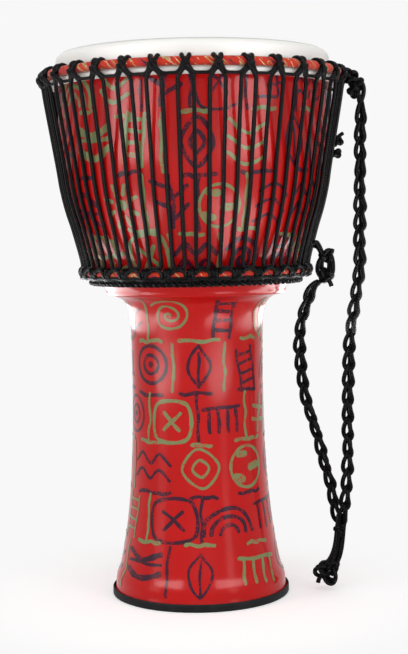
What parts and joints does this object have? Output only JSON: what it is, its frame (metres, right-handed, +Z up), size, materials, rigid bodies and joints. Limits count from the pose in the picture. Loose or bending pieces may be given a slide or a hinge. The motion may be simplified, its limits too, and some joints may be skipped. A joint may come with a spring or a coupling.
{
  "type": "rope-tuned djembe",
  "caption": "Goblet hand drum with a flat film head, cloth-wrapped tension rings, knotted rope lacing, a rubber foot and a chain-plaited rope strap.",
  "frame": {"origin": "middle of the rubber foot ring on the floor, on the drum's axis", "axes": "+Z up along the drum's axis, -Y towards the pictured front, +X to the side with the strap"},
  "size_m": [0.3645, 0.3488, 0.6],
  "materials": {
    "shell": "glossy moulded composite with a printed pattern under clear coat",
    "rubber": "matt black rubber",
    "film": "satin film",
    "steel": "plain round bar",
    "cloth": "printed woven cotton",
    "rope": "plaited polyester rope"
  },
  "bodies": {
    "root": {"shell": "shell", "foot_ring": "rubber", "drum_head": "film", "flesh_hoop": "steel", "crown_ring": "steel", "crown_ring_sleeve": "cloth", "bottom_ring": "steel", "bottom_ring_sleeve": "cloth", "crown_loops": "rope", "bottom_loops": "rope", "vertical_lacing": "rope", "base_braid": "rope", "lacing_tie_off": "rope", "strap_top_knot": "rope", "strap_bottom_knot": "rope", "strap_end_knot": "rope", "strap_long_leg": "rope", "strap_short_leg": "rope", "strap_tail": "rope"}
  },
  "joints": []
}
